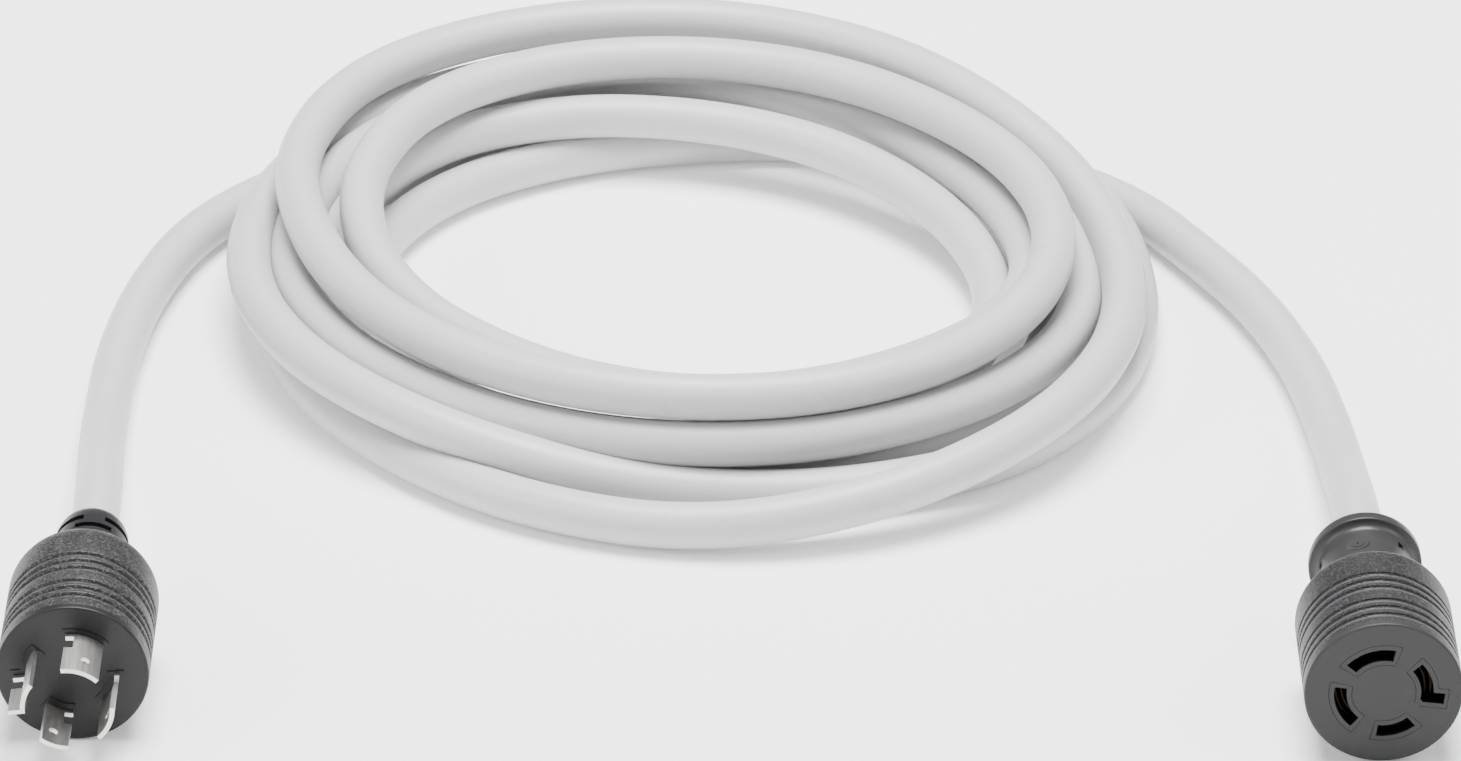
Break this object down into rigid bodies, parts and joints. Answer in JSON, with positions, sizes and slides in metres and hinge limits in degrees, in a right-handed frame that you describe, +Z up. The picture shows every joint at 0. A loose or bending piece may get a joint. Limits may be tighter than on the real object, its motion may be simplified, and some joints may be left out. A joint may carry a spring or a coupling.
{
  "type": "shore power cord",
  "caption": "Coiled heavy round power cord with a moulded locking plug on one end and a moulded locking connector on the other.",
  "frame": {"origin": "on the floor, at the middle of the whole layout's bounding box", "axes": "+Z up; both heads lie with their faces towards -Y, the plug on the -X side and the connector on the +X side"},
  "size_m": [0.516, 0.5255, 0.056],
  "materials": {
    "cable_jacket": "soft satin, very fine grain",
    "grained_moulding": "spark-eroded grain",
    "plug_face_moulding": "smooth satin",
    "smooth_moulding": "smooth satin",
    "connector_face_moulding": "smooth satin",
    "inner_moulding": "plain moulded",
    "plated_brass": "nickel plated brass, stamped",
    "contact_brass": "bare spring brass",
    "black_insulation": "satin",
    "red_insulation": "satin",
    "white_insulation": "satin",
    "green_insulation": "satin",
    "copper": "bare stranded copper",
    "filler_paper": "twisted paper cord"
  },
  "bodies": {
    "coil": {"cord_coil": "cable_jacket"},
    "plug_lead_body": {"plug_lead": "cable_jacket"},
    "plug_head": {"plug_body": "grained_moulding", "plug_face": "plug_face_moulding", "plug_inner_mould": "inner_moulding", "plug_strain_relief": "smooth_moulding", "hot_x_blade": "plated_brass", "hot_y_blade": "plated_brass", "neutral_blade": "plated_brass", "ground_blade": "plated_brass", "plug_black_wire": "black_insulation", "plug_red_wire": "red_insulation", "plug_white_wire": "white_insulation", "plug_green_wire": "green_insulation", "plug_copper_strands": "copper", "plug_filler_cords": "filler_paper", "plug_jacket_end": "cable_jacket"},
    "connector_lead_body": {"connector_lead": "cable_jacket"},
    "connector_head": {"connector_body": "grained_moulding", "connector_face": "connector_face_moulding", "hot_x_sleeve": "connector_face_moulding", "hot_y_sleeve": "connector_face_moulding", "neutral_sleeve": "connector_face_moulding", "ground_sleeve": "connector_face_moulding", "connector_contact_carrier": "connector_face_moulding", "connector_carrier_back": "connector_face_moulding", "connector_inner_mould": "inner_moulding", "connector_neck": "smooth_moulding", "hot_x_contact": "contact_brass", "hot_y_contact": "contact_brass", "neutral_contact": "contact_brass", "ground_contact": "contact_brass", "connector_black_wire": "black_insulation", "connector_red_wire": "red_insulation", "connector_white_wire": "white_insulation", "connector_green_wire": "green_insulation", "connector_copper_strands": "copper", "connector_filler_cords": "filler_paper", "connector_jacket_end": "cable_jacket"}
  },
  "joints": [
    {"name": "plug_swing", "type": "hinge", "parent": "coil", "child": "plug_lead_body", "pos_m": [-0.211, 0.134, 0.0088], "axis": [0, 0, 1], "range_deg": [-30, 8], "deforming": ["plug_lead"]},
    {"name": "plug_twist", "type": "hinge", "parent": "plug_lead_body", "child": "plug_head", "pos_m": [-0.231, -0.142, 0.027], "axis": [0, 1, 0], "range_deg": [-20, 20], "stiffness_Nm_per_rad": 0.5},
    {"name": "connector_swing", "type": "hinge", "parent": "coil", "child": "connector_lead_body", "pos_m": [0.19, 0.102, 0.0088], "axis": [0, 0, 1], "range_deg": [-8, 30], "deforming": ["connector_lead"]},
    {"name": "connector_twist", "type": "hinge", "parent": "connector_lead_body", "child": "connector_head", "pos_m": [0.23, -0.161, 0.028], "axis": [0, 1, 0], "range_deg": [-20, 20], "stiffness_Nm_per_rad": 0.5}
  ]
}
